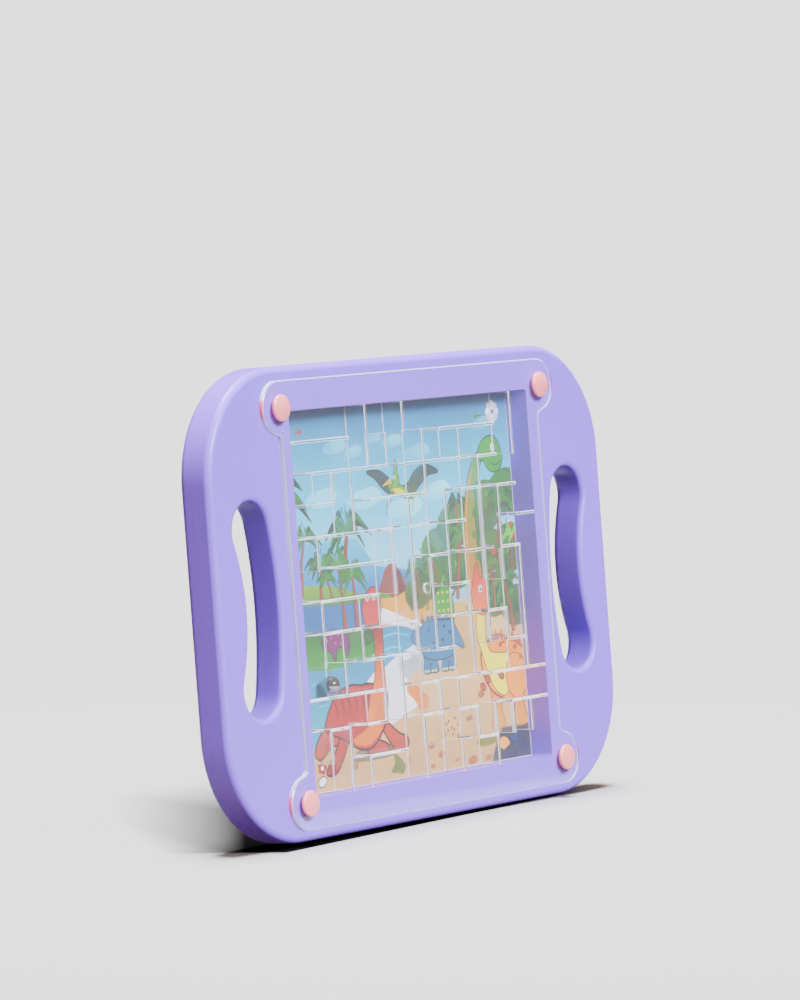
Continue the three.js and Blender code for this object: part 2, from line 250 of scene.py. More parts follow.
def lights():
    world = bpy.data.worlds.new("studio")
    world.use_nodes = True
    nt = world.node_tree
    where = nt.nodes.new("ShaderNodeTexCoord")
    along = nt.nodes.new("ShaderNodeVectorMath")
    along.operation = "DOT_PRODUCT"
    feed(nt, along, {0: where.outputs["Generated"],
                     1: Vector((-0.25, -0.45, 0.85)).normalized()})
    feed(nt, nt.nodes["Background"], {
        "Strength": mapped(nt, along.outputs["Value"], AMBIENT_LOW, AMBIENT_HIGH, -1, 1),
        "Color": (1.22, 1.0, 0.72, 1)})
    scene.world = world
    sun("overhead", (0.05, 0.0, 1.0), 12.6, 16)
    sun("left", (-0.97, -0.04, 0.02), 0.75, 20, (1.08, 1.0, 0.84))
    # the front lamp leaves the floor out, so the board's own shadow stays dark
    front = sun("front", (-0.13, -0.89, 0.43), 9.5, 20, (0.94, 0.95, 1.12))
    lit = bpy.data.collections.new("lit_from_the_front")
    lit.objects.link(bpy.data.objects["floor"])
    front.light_linking.receiver_collection = lit
    lit.collection_objects[0].light_linking.link_state = "EXCLUDE"


# ---- mesh helpers ------------------------------------------------------------------------------
def mesh_object(name, bm, recalc=True):
    if recalc:
        bmesh.ops.recalc_face_normals(bm, faces=bm.faces)
    mesh = bpy.data.meshes.new(name)
    bm.to_mesh(mesh)
    bm.free()
    obj = bpy.data.objects.new(name, mesh)
    scene.collection.objects.link(obj)
    return obj


def loft(name, rings):
    """A closed solid through rings of (depth, outline) with equal point counts."""
    bm = bmesh.new()
    rows = [[bm.verts.new((x, depth, z)) for x, z in outline] for depth, outline in rings]
    n = len(rows[0])
    for a, b in zip(rows, rows[1:]):
        for i in range(n):
            bm.faces.new((a[i], a[(i + 1) % n], b[(i + 1) % n], b[i]))
    bm.faces.new(rows[0])
    bm.faces.new(rows[-1])
    return mesh_object(name, bm)


def block(name, lo, hi):
    bm = bmesh.new()
    bmesh.ops.create_cube(bm, size=1)
    for v in bm.verts:
        v.co = [lo[i] + (v.co[i] + 0.5) * (hi[i] - lo[i]) for i in range(3)]
    return mesh_object(name, bm)


def turned(name, profile, x=0.0, z=0.0, segments=64):
    """A solid of revolution about the depth axis from (radius, depth) points."""
    bm = bmesh.new()
    rows = []
    for radius, depth in profile:
        if radius < 1e-6:
            rows.append([bm.verts.new((x, depth, z))] * segments)
        else:
            rows.append([bm.verts.new((x + radius * math.cos(2 * math.pi * i / segments), depth,
                                       z + radius * math.sin(2 * math.pi * i / segments)))
                         for i in range(segments)])
    for a, b in zip(rows, rows[1:]):
        for i in range(segments):
            j = (i + 1) % segments
            corners = []
            for v in (a[i], a[j], b[j], b[i]):
                if v not in corners:
                    corners.append(v)
            if len(corners) > 2:
                bm.faces.new(corners)
    return mesh_object(name, bm)


def boolean(obj, operation, *others):
    for other in others:
        mod = obj.modifiers.new("cut", "BOOLEAN")
        mod.operation, mod.solver, mod.object = operation, "EXACT", other
    depsgraph = bpy.context.evaluated_depsgraph_get()
    mesh = bpy.data.meshes.new_from_object(obj.evaluated_get(depsgraph))
    obj.modifiers.clear()
    obj.data = mesh
    for other in others:
        bpy.data.objects.remove(other)
    return obj


def place(obj, body, replaced, slot, material=None, smooth=35, weighted=True):
    """Moves a finished piece from millimetres into the row frame and rides it on its body.

    A piece with more than one material brings them in its mesh.
    """
    obj.data.transform(TO_ROW)
    obj.data.shade_smooth()
    obj.data.set_sharp_from_angle(angle=math.radians(smooth))
    if weighted:
        mod = obj.modifiers.new("normals", "WEIGHTED_NORMAL")
        mod.keep_sharp = True
    if material:
        obj.data.materials.clear()
        obj.data.materials.append(material)
    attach(obj, body)
    if replaced:
        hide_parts(*replaced)
    return obj


# ---- outlines ----------------------------------------------------------------------------------
def body_outline(inset, steps=22):
    r = CORNER_R - inset
    points = []
    for quarter, (sx, sz) in enumerate(SIGNS):
        for i in range(steps + 1):
            a = (quarter + i / steps) * math.pi / 2
            points.append((sx * (HALF_W - CORNER_R) + r * math.cos(a),
                           RISE + sz * (HALF_H - CORNER_R) + r * math.sin(a)))
    return points


def grip_outline(side, grow, run=40, turn=20):
    bow = (GRIP_END_X - GRIP_MID_X) / GRIP_RUN ** 2

    def at(z, angle):
        slope = 2 * bow * z
        length = math.hypot(slope, 1)
        radius = GRIP_MID_R + (GRIP_END_R - GRIP_MID_R) * (z / GRIP_RUN) ** 2 + grow
        c, s = radius * math.cos(angle) / length, radius * math.sin(angle) / length
        return (side * (GRIP_MID_X + bow * z * z + c + slope * s), z - slope * c + s)

    line = [-GRIP_RUN + 2 * GRIP_RUN * k / run for k in range(run + 1)]
    points = [at(z, 0) for z in line]
    points += [at(GRIP_RUN, math.pi * k / turn) for k in range(1, turn)]
    points += [at(z, math.pi) for z in reversed(line)]
    points += [at(-GRIP_RUN, math.pi * (1 + k / turn)) for k in range(1, turn)]
    return points


def edge_rings(outline, radius, start, towards, steps=10):
    rings = []
    for i in range(steps + 1):
        a = i / steps * math.pi / 2
        rings.append((start + towards * radius * (1 - math.cos(a)),
                      outline(radius * (1 - math.sin(a)))))
    return rings if towards > 0 else rings[::-1]


# ---- materials ---------------------------------------------------------------------------------
def plastic(name, a, b, rough, grain, subsurface, coat=0.0):
    """Moulded plastic: faint drift in tone, a fine spark-eroded grain and uneven sheen."""
    mat, nt, bsdf = node_material(name)
    feed(nt, bsdf, {
        "Base Color": blend_colours(nt, noise(nt, 14, 4), a, b),
        "Roughness": mapped(nt, noise(nt, 60, 5), rough - 0.05, rough + 0.06),
        "Normal": bumps(nt, noise(nt, 2600, 2), grain, 0.0001),
        "IOR": PLASTIC_IOR, "Specular IOR Level": 0.4, "Subsurface Weight": subsurface,
        "Subsurface Scale": 0.003, "Subsurface Radius": (1.0, 0.7, 0.9), "Coat Weight": coat,
        "Coat Roughness": 0.25})
    return mat


def clear_plastic(name, tint, rough, transmission=1.0):
    mat, nt, bsdf = node_material(name)
    feed(nt, bsdf, {
        "Base Color": tint, "IOR": ACRYLIC_IOR, "Transmission Weight": transmission,
        "Roughness": mapped(nt, noise(nt, 35, 4), rough * 0.7, rough * 1.4),
        "Normal": bumps(nt, noise(nt, 45, 2), 0.03, 0.0004)})
    return mat


def metal(name, colour, rough, scratch):
    mat, nt, bsdf = node_material(name)
    feed(nt, bsdf, {
        "Base Color": colour, "Metallic": 1,
        "Roughness": mapped(nt, noise(nt, 400, 6, 0.7), rough * 0.6, rough * 1.6),
        "Normal": bumps(nt, noise(nt, 900, 4), scratch, 0.0001)})
    return mat


def haze_and_glint(name, tint, rough, transmission):
    """Moulded edge of the clear plastic: part clear, part white, with random white flecks; on the
    gate mark the white is real frost, on the edges of the plate and walls it is a painted glint.
    """
    mat, nt, bsdf = node_material(name)
    feed(nt, bsdf, {
        "Base Color": blend_colours(nt, noise(nt, 180, 4), tint, grey(0.9)),
        "IOR": ACRYLIC_IOR, "Transmission Weight": transmission,
        "Roughness": mapped(nt, noise(nt, 90, 4), rough * 0.6, rough * 1.3),
        "Normal": bumps(nt, noise(nt, 220, 3), 0.1, 0.0002)})
    return mat


def rim_material():
    """Rim of the clear plate, its colour painted light: the card's blue, mottled with lavender,
    that it pipes along it, and the rivets' pink reflected near them.
    """
    mat, nt, bsdf = node_material("clear_rim_painted_light")
    _, _, z = split(nt, object_place(nt))
    up = maths(nt, "ABSOLUTE", maths(nt, "SUBTRACT", z, MID_Z))
    apart = maths(nt, "ABSOLUTE", maths(nt, "SUBTRACT", up, RIVET_Z / 1000))
    # painted reflection of the pink rivets near them, painted piped blue and lavender elsewhere
    mix = nt.nodes.new("ShaderNodeMix")
    mix.data_type = "RGBA"
    feed(nt, mix, {
        "Factor": mapped(nt, apart, 1, 0, 0.0030, 0.0058), "B": (0.95, 0.16, 0.26, 1),
        "A": blend_colours(nt, noise(nt, 45, 3), (0.62, 0.82, 0.90, 1), (0.52, 0.50, 0.88, 1))})
    feed(nt, bsdf, {
        "Base Color": mix.outputs["Result"], "IOR": ACRYLIC_IOR,
        "Roughness": mapped(nt, noise(nt, 60, 3), 0.10, 0.26),
        "Subsurface Weight": 0.3, "Subsurface Scale": 0.002})
    return mat


LAVENDER = plastic("lavender_plastic", (0.250, 0.113, 0.84, 1), (0.238, 0.106, 0.81, 1), 0.40,
                   0.10, 0.05)
PINK = plastic("pink_plastic", (1.0, 0.26, 0.28, 1), (1.0, 0.235, 0.255, 1), 0.32, 0.06, 0.2,
               0.5)
CLEAR = clear_plastic("clear_cover", (0.97, 0.985, 1, 1), 0.02, 0.985)
CLEAR_RIB = clear_plastic("clear_rib", (0.93, 0.96, 1, 1), 0.10)
# the gate mark's white is real frost; the next two paint white highlights on the clear edges, the
# chamfer's fainter
GATE = haze_and_glint("gate_mark", (0.95, 0.97, 1, 1), 0.15, 0.15)
GLINT = haze_and_glint("clear_glint", (0.98, 0.99, 1, 1), 0.10, 0.12)
CHAMFER_GLINT = haze_and_glint("clear_chamfer_glint", (0.80, 0.84, 0.97, 1), 0.12, 0.60)
RIM_PAINTED_LIGHT = rim_material()
BALL = metal("ball_steel", (0.40, 0.39, 0.37, 1), 0.05, 0.02)
ZINC = metal("zinc_plate", lin(205, 206, 210), 0.30, 0.10)


# ---- body --------------------------------------------------------------------------------------
def grip_cutters(front):
    cutters = []
    for side in (-1, 1):
        if front:
            rings = [(-1, grip_outline(side, GRIP_EDGE))]
            rings += edge_rings(lambda g: grip_outline(side, g), GRIP_EDGE, 0, 1)
            rings += [(SEAM + 1, grip_outline(side, 0))]
        else:
            rings = [(SEAM - 1, grip_outline(side, 0))]
            rings += edge_rings(lambda g: grip_outline(side, g), GRIP_BACK_EDGE, DEPTH, -1)
            rings += [(DEPTH + 1, grip_outline(side, GRIP_BACK_EDGE))]
        cutters.append(loft("grip", rings))
    return cutters


def rivet_holes(start, end):
    return [turned("hole", [(0, start), (RIVET_HOLE_R, start), (RIVET_HOLE_R, end), (0, end)],
                   sx * RIVET_X, sz * RIVET_Z, 32) for sx in (-1, 1) for sz in (-1, 1)]


def body():
    seam = 0.02
    front = loft("front_moulding", edge_rings(body_outline, FRONT_R, 0, 1)
                 + [(SEAM - seam, body_outline(0))])
    tray = block("tray", (-TRAY_W - 1.6, 4, -TRAY_H - 1.6), (TRAY_W + 1.6, 13.1, TRAY_H + 1.6))
    boolean(front, "UNION", tray)
    corner = 1.2
    recess = []
    for sx, sz in SIGNS:
        for i in range(7):
            a = math.atan2(sz, sx) + (i / 6 - 0.5) * math.pi / 2
            recess.append((sx * (TRAY_W - corner) + corner * math.cos(a),
                           sz * (TRAY_H - corner) + corner * math.sin(a)))
    pocket = loft("recess", [(-1, recess), (TRAY_DEPTH, recess)])
    boolean(front, "DIFFERENCE", pocket, *grip_cutters(True), *rivet_holes(-1, 8))
    place(front, "board", ["front_shell"], "body", LAVENDER, smooth=30)

    back = loft("back_moulding", [(SEAM + seam, body_outline(0))]
                + edge_rings(body_outline, BACK_R, DEPTH, -1))
    room = block("room", (-TRAY_W - 2, 8, -TRAY_H - 2), (TRAY_W + 2, DEPTH - 1.6, TRAY_H + 2))
    seats = []
    for x, z in SCREWS.values():
        seats.append(turned("seat", [(0, 8), (1.6, 8), (1.6, DEPTH - 2.4), (3.1, DEPTH - 2.4),
                                     (3.1, DEPTH - 0.3), (3.4, DEPTH), (3.4, DEPTH + 1),
                                     (0, DEPTH + 1)], x, z, 40))
    boolean(back, "DIFFERENCE", room, *grip_cutters(False), *seats)
    place(back, "board", ["back_shell"], "body", LAVENDER, smooth=30)


# ---- clear cover with its maze walls -----------------------------------------------------------
UPRIGHT = [(1, 4, 5), (2, 2, 3), (3, 2, 4), (4, 0, 2), (5, 1, 2), (5, 4, 6), (1, 6, 8), (3, 7, 8),
           (4, 6, 7), (5, 8, 10), (6, 3, 9), (6, 10, 12), (7, 1, 3), (7, 9, 11), (9, 1, 2),
           (10, 2, 8), (11, 3, 6), (11, 7, 8), (12, 5, 9), (7, 5, 8), (8, 3, 6), (8, 9, 10),
           (9, 6, 9), (9, 10, 11), (10, 10, 12), (2, 8, 9), (4, 9, 10), (1, 10, 11), (2, 10, 12),
           (3, 11, 12), (11, 10, 11), (12, 10, 11), (6, 0, 1), (12, 0, 2), (8, 11, 12)]
LEVEL = [(2, 1, 5), (3, 1, 2), (4, 1, 5), (5, 2, 5), (1, 8, 11), (2, 6, 9), (3, 4, 7), (4, 6, 7),
         (6, 1, 4), (7, 1, 3), (7, 4, 6), (8, 3, 4), (8, 5, 6), (9, 6, 7), (10, 6, 7),
         (2, 10, 11), (3, 9, 10), (3, 11, 12), (5, 9, 10), (5, 11, 12), (7, 10, 11), (8, 11, 12),
         (9, 10, 13), (4, 8, 9), (5, 7, 8), (6, 8, 9), (7, 8, 9), (8, 7, 8), (9, 8, 9),
         (10, 8, 9), (11, 9, 10), (9, 0, 4), (10, 3, 4), (10, 1, 2), (11, 3, 5), (10, 11, 13),
         (1, 0, 3), (4, 12, 13)]


def cover_outline(inset):
    ear, neck, half = EAR_R - inset, NECK_R + inset, PLATE_W - inset
    run = PLATE_W + NECK_R - RIVET_X
    drop = math.sqrt((EAR_R + NECK_R) ** 2 - run ** 2)
    meet = math.atan2(-drop, run)
    quarter = [(half, 0.0)]
    for i in range(15):
        a = math.pi + meet * i / 14
        quarter.append((PLATE_W + NECK_R + neck * math.cos(a),
                        RIVET_Z - drop + neck * math.sin(a)))
    for i in range(1, 37):
        a = meet + (math.pi / 2 - meet) * i / 36
        quarter.append((RIVET_X + ear * math.cos(a), RIVET_Z + ear * math.sin(a)))
    half_outline = quarter + [(-x, z) for x, z in reversed(quarter)]
    return half_outline + [(x, -z) for x, z in reversed(half_outline[1:-1])]


def rib_mesh():
    """One mesh over the union of the wall footprints, with softened free edges."""
    t = RIB / 2
    rects = []
    for k, a, b in UPRIGHT:
        x = -TRAY_W + k * CELL
        rects.append((x - t, x + t, max(TRAY_H - b * CELL - t, -TRAY_H + 0.3),
                      min(TRAY_H - a * CELL + t, TRAY_H - 0.3)))
    for k, a, b in LEVEL:
        z = TRAY_H - k * CELL
        rects.append((max(-TRAY_W + a * CELL - t, -TRAY_W + 0.3),
                      min(-TRAY_W + b * CELL + t, TRAY_W - 0.3), z - t, z + t))
    xs = sorted({round(v, 4) for r in rects for v in r[:2]})
    zs = sorted({round(v, 4) for r in rects for v in r[2:]})
    full = set()
    for x0, x1, z0, z1 in rects:
        for i in range(len(xs) - 1):
            for j in range(len(zs) - 1):
                mx, mz = (xs[i] + xs[i + 1]) / 2, (zs[j] + zs[j + 1]) / 2
                if x0 < mx < x1 and z0 < mz < z1:
                    full.add((i, j))
    bm = bmesh.new()
    made = {}

    def vert(i, j, depth):
        key = (i, j, depth)
        if key not in made:
            made[key] = bm.verts.new((xs[i], depth, zs[j]))
        return made[key]

    root, tip = PLATE_BACK + 0.02, RIB_DEPTH
    for i, j in full:
        ring = ((i, j), (i + 1, j), (i + 1, j + 1), (i, j + 1))
        for depth in (root, tip):
            bm.faces.new([vert(a, b, depth) for a, b in ring])
        for (di, dj), (p, q) in (((0, -1), (0, 1)), ((1, 0), (1, 2)), ((0, 1), (2, 3)),
                                 ((-1, 0), (3, 0))):
            if (i + di, j + dj) not in full:
                a, b = ring[p], ring[q]
                bm.faces.new((vert(*a, root), vert(*b, root), vert(*b, tip), vert(*a, tip)))
    bmesh.ops.dissolve_limit(bm, angle_limit=0.01, verts=bm.verts, edges=bm.edges)
    bmesh.ops.recalc_face_normals(bm, faces=bm.faces)
    soft = [e for e in bm.edges if e.is_convex and e.calc_face_angle(0) > 1]
    bmesh.ops.bevel(bm, geom=soft, offset=0.32, segments=2, profile=0.5, affect="EDGES")
    return mesh_object("ribs", bm)


def cover():
    rings = []
    for depth, inset in ((PLATE_FRONT, 0.5), (PLATE_FRONT + 0.4, 0.0), (PLATE_BACK - 0.4, 0.0),
                         (PLATE_BACK, 0.5)):
        rings.append((depth, cover_outline(inset)))
    plate = loft("clear_maze_cover", rings)
    gate = turned("gate", [(0, -4), (3.1, -4), (3.1, -2.55), (0, -2.55)], 0, 0, 48)
    nub = turned("nub", [(0, -2.9), (1.9, -2.9), (2.2, -2.7), (2.2, -2.4), (0, -2.4)], 0, 0, 48)
    boolean(plate, "DIFFERENCE", gate, *rivet_holes(-4, 1))
    boolean(plate, "UNION", nub)
    clear, mark, rim, chamfer_glint = range(4)
    for m in (CLEAR, GATE, RIM_PAINTED_LIGHT, CHAMFER_GLINT):
        plate.data.materials.append(m)
    for face in plate.data.polygons:
        c, n = face.center, face.normal
        face.material_index = clear
        if abs(c.x) < 4 and abs(c.z) < 4:
            if max(abs(n.x), abs(n.z)) > 0.1:
                face.material_index = mark
        # the chamfer faces take a fainter painted glint, the rim's side faces the rim's painted
        # light
        elif abs(n.y) < 0.9 and max(abs(c.x), abs(c.z)) > 20:
            face.material_index = chamfer_glint if abs(n.y) > 0.3 else rim
    place(plate, "board", ["cover_plate"], "cover")
    ribs = rib_mesh()
    ribs.name = "clear_maze_walls"
    for m in (CLEAR_RIB, GLINT):
        ribs.data.materials.append(m)
    for face in ribs.data.polygons:
        # the bevels between the flat faces take the painted white glint
        flat = abs(face.normal.y) < 0.2 and face.area > 4 or abs(face.normal.y) > 0.95
        face.material_index = 0 if flat else 1
    walls = [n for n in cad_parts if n.startswith("maze_wall")]
    place(ribs, "board", walls, "cover")
    for obj in (plate, ribs):
        obj.visible_shadow = False
        obj.visible_diffuse = False


# ---- small parts -------------------------------------------------------------------------------
def rivets():
    for name, (sx, sz) in {"top_left": (-1, 1), "top_right": (1, 1), "bottom_right": (1, -1),
                           "bottom_left": (-1, -1)}.items():
        back = PLATE_FRONT - 0.3
        dome = []
        for i in range(13):
            a = i / 12 * math.pi / 2
            dome.append((RIVET_HEAD_R - RIVET_EDGE + RIVET_EDGE * math.cos(a),
                         back - 0.7 - 1.1 * math.sin(a)))
        crown = [(4.45 * (1 - k / 6), back - 1.8 - 0.7 * (1 - (1 - k / 6) ** 2))
                 for k in range(1, 7)]
        profile = [(0, 7.4), (1.5, 7.4), (2.3, 6.2), (2.3, back), (5.5, back),
                   (5.75, back - 0.1), (RIVET_HEAD_R, back - 0.35)] + dome + crown
        rivet = turned("rivet_" + name, profile, sx * RIVET_X, sz * RIVET_Z)
        place(rivet, "board", ["push_rivet_" + name], "rivet", PINK, smooth=40)


def screws():
    for name, (x, z) in SCREWS.items():
        head = [(r, DEPTH - drop) for r, drop in (
            (0, 0.5), (1.7, 0.5), (2.3, 0.65), (2.65, 0.95), (2.8, 1.3), (2.8, 2.0), (1.3, 2.0))]
        thread = []
        for k in range(12):
            d = DEPTH - 2.4 - k * 0.85
            thread += [(1.02, d), (1.3, d - 0.3), (1.3, d - 0.4), (1.02, d - 0.7)]
        screw = turned("screw_" + name, head + thread + [(0.3, 3.4), (0, 3.4)], x, z, 32)
        slots = [block("slot", (x - a, DEPTH - 1.5, z - b), (x + a, DEPTH, z + b))
                 for a, b in ((1.5, 0.28), (0.28, 1.5))]
        boolean(screw, "DIFFERENCE", *slots)
        place(screw, "board", ["back_screw_" + name], "screw", ZINC, smooth=35)


def ball():
    lo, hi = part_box("steel_ball")
    centre, radius = (lo + hi) / 2, (hi.y - lo.y) / 2
    bm = bmesh.new()
    bmesh.ops.create_uvsphere(bm, u_segments=64, v_segments=40, radius=radius)
    bmesh.ops.translate(bm, verts=bm.verts, vec=centre)
    obj = mesh_object("bearing_ball", bm)
    obj.data.shade_smooth()
    obj.data.materials.append(BALL)
    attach(obj, "ball")
    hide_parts("steel_ball")


# ---- printed card ------------------------------------------------------------------------------
def ink(r, g, b):
    """Ink for a colour as it looks through the hazy cover: stronger and deeper than that."""
    c = lin(r, g, b)
    luma = 0.2126 * c[0] + 0.7152 * c[1] + 0.0722 * c[2]
    level, depth = 1.34 * luma ** 2.15, 2.75
    return tuple(min(0.93, max(0.012, level * (1 + depth * (v / luma - 1)))) for v in c[:3]) + (1,)


def darker(paint):
    """The ink of an outline: the given one at under half its strength."""
    return tuple(v * 0.45 for v in paint[:3]) + (1,)


def curve(points, closed=True, steps=6):
    """Catmull-Rom through the points."""
    n = len(points)
    out = []
    for i in range(n if closed else n - 1):
        a, b, c, d = (Vector(points[(i + k) % n] if closed else
                             points[max(0, min(n - 1, i + k))]) for k in (-1, 0, 1, 2))
        for s in range(steps):
            t = s / steps
            q = (b * 2 + (c - a) * t + (a * 2 - b * 5 + c * 4 - d) * t * t
                 + (b * 3 - a - c * 3 + d) * t ** 3) / 2
            out.append((q.x, q.y))
    if not closed:
        out.append(tuple(points[-1]))
    return out


def swollen(points, grow):
    """The closed outline moved out along its normals."""
    n = len(points)
    area = sum(points[i][0] * points[(i + 1) % n][1] - points[(i + 1) % n][0] * points[i][1]
               for i in range(n))
    sign = 1 if area > 0 else -1
    out = []
    for i in range(n):
        a, b = Vector(points[i - 1]), Vector(points[(i + 1) % n])
        d = b - a
        d = d.normalized() if d.length > 1e-6 else Vector((1, 0))
        out.append((points[i][0] + sign * d.y * grow, points[i][1] - sign * d.x * grow))
    return out


class Print:
    """Flat inks painted one over the other, then cut into a single layer on the card."""

    def __init__(self):
        self.shapes = []

    def fill(self, paint, points):
        """paint is an ink, or (ink, ink, z, z) for a blend between two heights."""
        points = list(points)
        for axis, limit, sign in ((0, 90.4, 1), (0, -90.4, -1), (1, 83.4, 1), (1, -83.4, -1)):
            out = []
            for i, p in enumerate(points):
                q = points[(i + 1) % len(points)]
                inside, next_in = sign * p[axis] <= sign * limit, sign * q[axis] <= sign * limit
                if inside:
                    out.append(p)
                if inside != next_in:
                    t = (limit - p[axis]) / (q[axis] - p[axis])
                    out.append((p[0] + (q[0] - p[0]) * t, p[1] + (q[1] - p[1]) * t))
            points = out
            if len(points) < 3:
                return
        area = sum(p[0] * points[(i + 1) % len(points)][1]
                   - points[(i + 1) % len(points)][0] * p[1] for i, p in enumerate(points))
        if abs(area) > 0.02:
            self.shapes.append((paint, points if area > 0 else points[::-1]))

    def shape(self, paint, points, line=None, width=0.8, steps=6):
        outline = curve(points, True, steps)
        if line:
            self.fill(darker(line), swollen(outline, width + 0.15))
        self.fill(paint, outline)

    def oval(self, paint, x, z, rx, rz, tilt=0.0, line=None):
        c, s = math.cos(math.radians(tilt)), math.sin(math.radians(tilt))
        ring = []
        for i in range(20):
            a = i / 20 * 2 * math.pi
            u, v = rx * math.cos(a), rz * math.sin(a)
            ring.append((x + u * c - v * s, z + u * s + v * c))
        if line:
            self.fill(darker(line), swollen(ring, 0.6))
        self.fill(paint, ring)

    def dots(self, paint, places, rx, rz, tilt=0.0, line=None):
        for x, z in places:
            self.oval(paint, x, z, rx, rz, tilt, line)

    def stroke(self, paint, points, width, taper=1.0, smooth=True):
        line = curve(points, False, 5) if smooth else list(points)
        left, right = [], []
        for i, p in enumerate(line):
            a, b = Vector(line[max(0, i - 1)]), Vector(line[min(len(line) - 1, i + 1)])
            d = (b - a).normalized()
            w = width / 2 * (1 + (taper - 1) * i / max(1, len(line) - 1))
            left.append((p[0] - d.y * w, p[1] + d.x * w))
            right.append((p[0] + d.y * w, p[1] - d.x * w))
        self.fill(paint, left + right[::-1])

    def mesh(self, name):
        verts, edges = [], []
        for _, points in self.shapes:
            base, n = len(verts), len(points)
            verts += [Vector(p) for p in points]
            edges += [(base + i, base + (i + 1) % n) for i in range(n)]
        points, _, tris, _, _, _ = delaunay_2d_cdt(verts, edges, [], 0, 1e-4, False)
        flat = np.array([(p.x, p.y) for p in points])
        tris = np.array(tris)
        centres = flat[tris].mean(axis=1)
        owner = np.full(len(tris), -1)
        for index in range(len(self.shapes) - 1, -1, -1):
            shape = np.array(self.shapes[index][1])
            box = np.all((centres > shape.min(axis=0)) & (centres < shape.max(axis=0)), axis=1)
            test = np.nonzero(box & (owner < 0))[0]
            if len(test) == 0:
                continue
            c = centres[test][:, None]
            a, b = shape[None], np.roll(shape, -1, axis=0)[None]
            side = ((b[..., 0] - a[..., 0]) * (c[..., 1] - a[..., 1])
                    - (c[..., 0] - a[..., 0]) * (b[..., 1] - a[..., 1]))
            rise = (a[..., 1] <= c[..., 1]) & (b[..., 1] > c[..., 1]) & (side > 0)
            fall = (a[..., 1] > c[..., 1]) & (b[..., 1] <= c[..., 1]) & (side < 0)
            turns = rise.sum(axis=1) - fall.sum(axis=1)
            owner[test[turns != 0]] = index
        bm = bmesh.new()
        layer = bm.loops.layers.float_color.new("ink")
        made = [bm.verts.new((x, CARD_FRONT - 0.03, z)) for x, z in flat]
        for tri, index in zip(tris, owner):
            if index < 0:
                continue
            paint = self.shapes[index][0]
            face = bm.faces.new([made[i] for i in tri])
            for loop in face.loops:
                if len(paint) == 4 and not isinstance(paint[0], float):
                    t = (loop.vert.co.z - paint[2]) / (paint[3] - paint[2])
                    t = min(1, max(0, t))
                    loop[layer] = [a + (b - a) * t for a, b in zip(paint[0], paint[1])]
                else:
                    loop[layer] = paint
        for face in bm.faces:
            face.normal_update()
            if face.normal.y > 0:
                face.normal_flip()
        bmesh.ops.delete(bm, geom=[v for v in bm.verts if not v.link_faces], context="VERTS")
        return mesh_object(name, bm, recalc=False)


def palm(art, x, z, top_x, top_z, size, seed, dark=(64, 108, 84), light=(112, 154, 104)):
    """A palm from its foot to its crown, with two tiers of drooping fronds."""
    trunk, rings = ink(188, 132, 78), ink(132, 92, 62)
    bow = (top_x - x) * 0.25
    art.stroke(rings, [(x, z), (x + bow, (z + top_z) / 2), (top_x, top_z)], size * 0.20, 0.55)
    art.stroke(trunk, [(x + 0.3, z), (x + bow + 0.3, (z + top_z) / 2), (top_x, top_z)],
               size * 0.13, 0.55)
    for tier, (tone, reach) in enumerate(((dark, 1.0), (light, 0.84))):
        for k in range(7):
            a = math.radians(-24 + tier * 20 + k * 38 + 9 * math.sin(seed + k * 2.1 + tier))
            far = size * reach * (0.86 + 0.16 * math.sin(seed * 1.7 + k * 3.3))
            dx, dz = math.cos(a) * far, math.sin(a) * far * 0.70
            sag = size * (0.34 if abs(math.cos(a)) > 0.5 else 0.16)
            tip = (top_x + dx, top_z + dz - sag)
            mid = (top_x + dx * 0.52, top_z + dz * 0.66 + sag * 0.16)
            w = size * 0.105
            side = 1 if dx >= 0 else -1
            art.shape(ink(*tone), [(top_x, top_z - w * 0.3), (mid[0] - w * 0.3, mid[1] + w), tip,
                                   (mid[0] - side * w * 0.2, mid[1] - w * 0.9)], None, 0, 4)
            art.stroke(ink(*(min(255, v + 28) for v in tone)), [(top_x, top_z), mid, tip], 0.35,
                       0.3)


def eye(art, x, z, r):
    art.oval(ink(70, 60, 60), x, z, r * 1.15, r * 1.3)
    art.oval(ink(244, 244, 240), x, z, r, r * 1.15)
    art.oval(ink(50, 48, 54), x + r * 0.2, z - r * 0.1, r * 0.5, r * 0.62)


